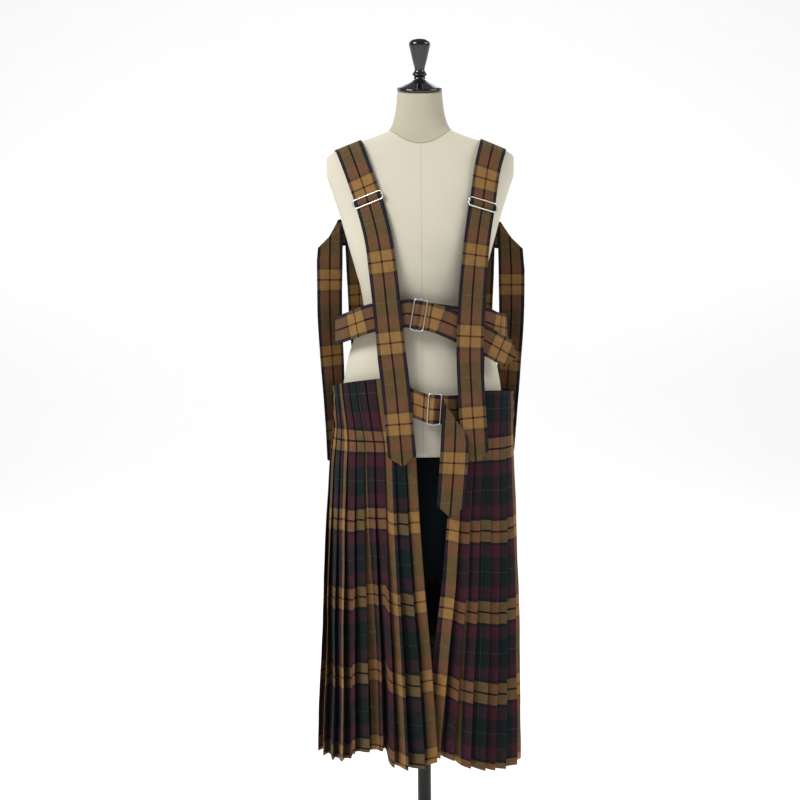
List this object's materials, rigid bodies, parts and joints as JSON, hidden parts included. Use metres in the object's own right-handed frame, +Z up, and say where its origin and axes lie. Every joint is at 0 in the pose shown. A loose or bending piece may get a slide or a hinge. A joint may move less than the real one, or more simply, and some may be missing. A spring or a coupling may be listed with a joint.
{
  "type": "pleated skirt on a dress form",
  "caption": "Open-front pleated tartan wrap skirt with shoulder straps and buckled belts, displayed on a limbless dress form on a round base.",
  "frame": {"origin": "centre of the round base's underside", "axes": "+Z up along the pole, -Y to the front of the garment, +X to the viewer's right seen from the front"},
  "size_m": [0.4381, 0.34, 1.6959],
  "materials": {
    "tartan": "woven tartan cloth, matt",
    "form_cloth": "cream stretched cloth, matt",
    "form_dark_cloth": "black stretched cloth, matt",
    "black_gloss": "turned and lacquered black",
    "pole_metal": "black painted tube",
    "base_metal": "black painted plate",
    "nickel": "bright bent wire"
  },
  "bodies": {
    "root": {"skirt_front_left": "tartan", "skirt_front_right": "tartan", "skirt_back": "tartan", "strap_left": "tartan", "strap_right": "tartan", "strap_front_left": "tartan", "strap_front_right": "tartan", "back_belt": "tartan", "side_tail_left": "tartan", "side_tail_right": "tartan", "midriff_belt_left": "tartan", "midriff_belt_right": "tartan", "waist_belt_left": "tartan", "waist_belt_right": "tartan", "form_torso": "form_cloth", "form_lower": "form_dark_cloth", "neck_cap": "black_gloss", "finial": "black_gloss", "pole": "pole_metal", "base": "base_metal", "slider_shoulder_left_frame": "nickel", "slider_shoulder_left_bar": "nickel", "slider_shoulder_right_frame": "nickel", "slider_shoulder_right_bar": "nickel", "slider_midriff_frame": "nickel", "slider_midriff_bar": "nickel", "slider_waist_frame": "nickel", "slider_waist_bar": "nickel"}
  },
  "joints": []
}
